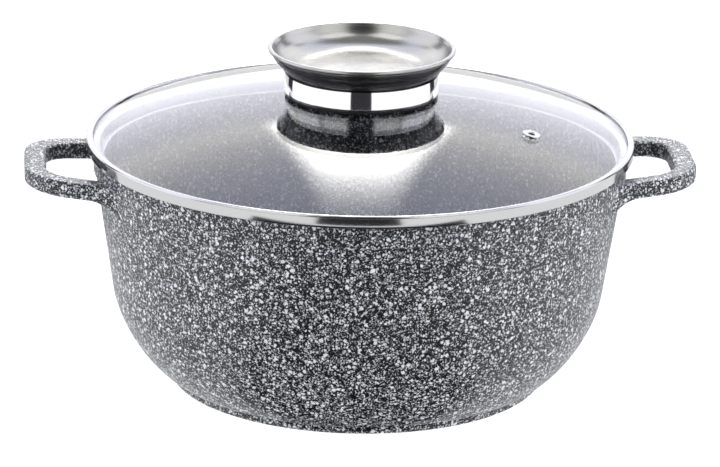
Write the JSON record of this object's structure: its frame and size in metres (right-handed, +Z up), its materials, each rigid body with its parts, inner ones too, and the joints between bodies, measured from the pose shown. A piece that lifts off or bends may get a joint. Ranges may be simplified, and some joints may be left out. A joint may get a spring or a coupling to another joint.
{
  "type": "casserole pot",
  "caption": "Wide round cast casserole with loop handles and a stone-look coating, under a domed glass lid with a steel rim, a steam vent and a dish-topped knob.",
  "frame": {"origin": "centre of the foot's underside, on the surface that the pot stands on", "axes": "+Z up through the knob, +X out along one handle, +Y across the handles towards the back"},
  "size_m": [0.3556, 0.29, 0.1811],
  "materials": {
    "coated_casting": "cast aluminium with a matt granite-look speckled non-stick coating",
    "polished_steel": "polished stainless steel",
    "lid_glass": "clear tempered glass",
    "silicone": "matt black silicone",
    "black_moulding": "glossy black heat-resistant moulding",
    "satin_steel": "satin stainless steel"
  },
  "bodies": {
    "root": {"pot": "coated_casting", "lid_rim": "polished_steel", "lid_glass": "lid_glass", "vent_eyelet": "polished_steel", "knob_seal": "silicone", "knob_body": "black_moulding", "knob_band": "polished_steel", "knob_dish": "satin_steel", "screw_seal": "silicone", "screw_washer": "satin_steel", "knob_screw": "satin_steel"}
  },
  "joints": []
}
